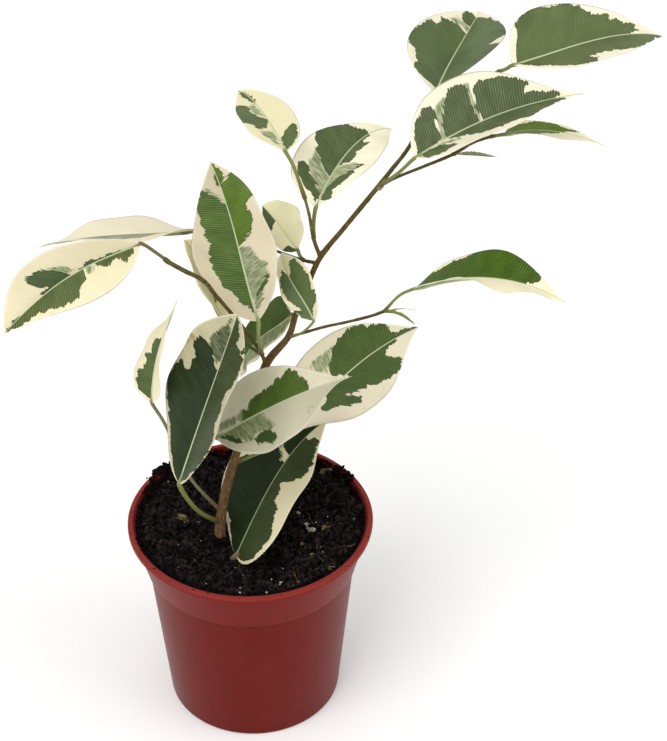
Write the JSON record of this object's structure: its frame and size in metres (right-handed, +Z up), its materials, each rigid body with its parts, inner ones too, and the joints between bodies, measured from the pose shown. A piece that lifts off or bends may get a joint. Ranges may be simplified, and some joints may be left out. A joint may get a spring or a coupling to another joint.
{
  "type": "potted weeping fig",
  "caption": "Young variegated weeping fig with a leaning woody stem and pointed green and cream leaves, in a small round plastic nursery pot of soil.",
  "frame": {"origin": "centre of the pot's flat base, on the surface that the pot stands on", "axes": "+Z up through the pot, -Y towards the viewer of the picture, +X to that viewer's right"},
  "size_m": [0.1578, 0.0832, 0.1882],
  "materials": {
    "pot_plastic": "thin moulded nursery pot plastic, red-brown, satin",
    "potting_soil": "dark damp peat with fibres and white perlite grains",
    "fig_bark": "thin tan-brown bark on the trunk, olive and purple-brown on the twigs",
    "leaf_cream": "waxy leaf, mostly cream with patches of green along the veins",
    "leaf_bright_green": "waxy leaf, bright green with cream margins",
    "leaf_sage_green": "waxy leaf, grey-green with cream margins and slashes",
    "leaf_dark_green": "waxy leaf, dark green with a narrow cream margin"
  },
  "bodies": {
    "root": {"pot": "pot_plastic", "soil": "potting_soil", "stem": "fig_bark", "leaf_far_left": "leaf_cream", "leaf_left_upper": "leaf_cream", "leaf_left_folded": "leaf_cream", "leaf_centre_tall": "leaf_bright_green", "leaf_centre_back": "leaf_cream", "leaf_centre_small": "leaf_dark_green", "leaf_right_arching": "leaf_bright_green", "leaf_right_low": "leaf_sage_green", "leaf_front_pale": "leaf_cream", "leaf_front_dark": "leaf_dark_green", "leaf_left_small": "leaf_sage_green", "leaf_on_soil": "leaf_dark_green", "leaf_centre_hidden": "leaf_dark_green", "leaf_top_small": "leaf_sage_green", "leaf_top_centre": "leaf_sage_green", "leaf_top_back": "leaf_sage_green", "leaf_top_right": "leaf_sage_green", "leaf_right_upper": "leaf_sage_green", "leaf_right_narrow": "leaf_bright_green", "leaf_young": "leaf_bright_green"}
  },
  "joints": []
}
